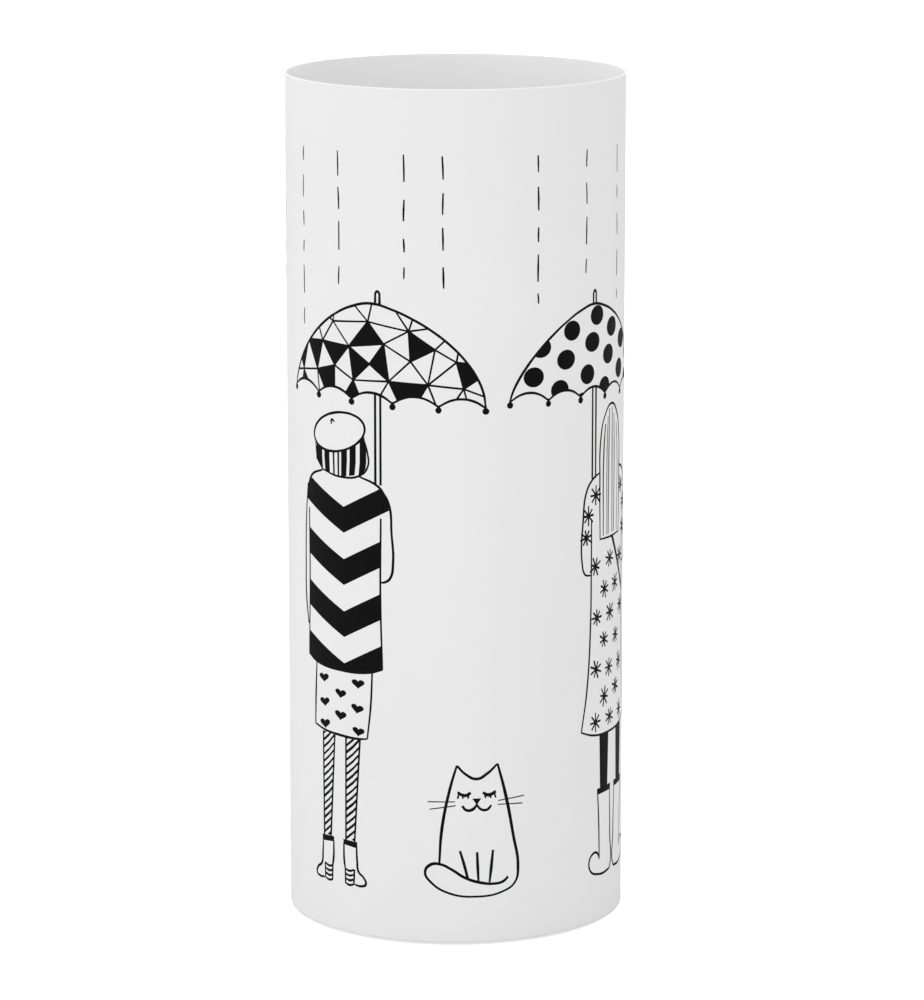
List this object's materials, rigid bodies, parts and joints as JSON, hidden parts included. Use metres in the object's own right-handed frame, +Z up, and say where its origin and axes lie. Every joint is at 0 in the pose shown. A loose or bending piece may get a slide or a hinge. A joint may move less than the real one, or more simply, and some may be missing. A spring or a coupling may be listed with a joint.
{
  "type": "umbrella stand",
  "caption": "Tall round sheet-steel tube, open at the top, with a pressed base plate on rubber pads and a lift-out drip tray, for standing wet umbrellas in.",
  "frame": {"origin": "centre of the stand at floor level, on the tube's axis, in the plane that the pads stand on", "axes": "+Z up along the tube's axis, -Y towards the front of the print, +X to the viewer's right; the welded seam runs up the back, at +Y"},
  "size_m": [0.195, 0.195, 0.49],
  "materials": {
    "painted_tube": "white powder coat, satin",
    "painted_base": "white powder coat, satin",
    "painted_welds": "white powder coat over weld beads",
    "tray_plastic": "black polypropylene, fine moulded grain",
    "pad_rubber": "black foam rubber",
    "print_ink": "black screen-printed ink, satin"
  },
  "bodies": {
    "stand": {"tube_wall": "painted_tube", "base_plate": "painted_base", "base_welds": "painted_welds", "foot_pad_1": "pad_rubber", "foot_pad_2": "pad_rubber", "foot_pad_3": "pad_rubber", "foot_pad_4": "pad_rubber"},
    "tray": {"drip_tray": "tray_plastic"}
  },
  "joints": [
    {"name": "tray_lift", "type": "slide", "parent": "stand", "child": "tray", "axis": [0, 0, 1], "range_m": [0, 0.5]}
  ]
}
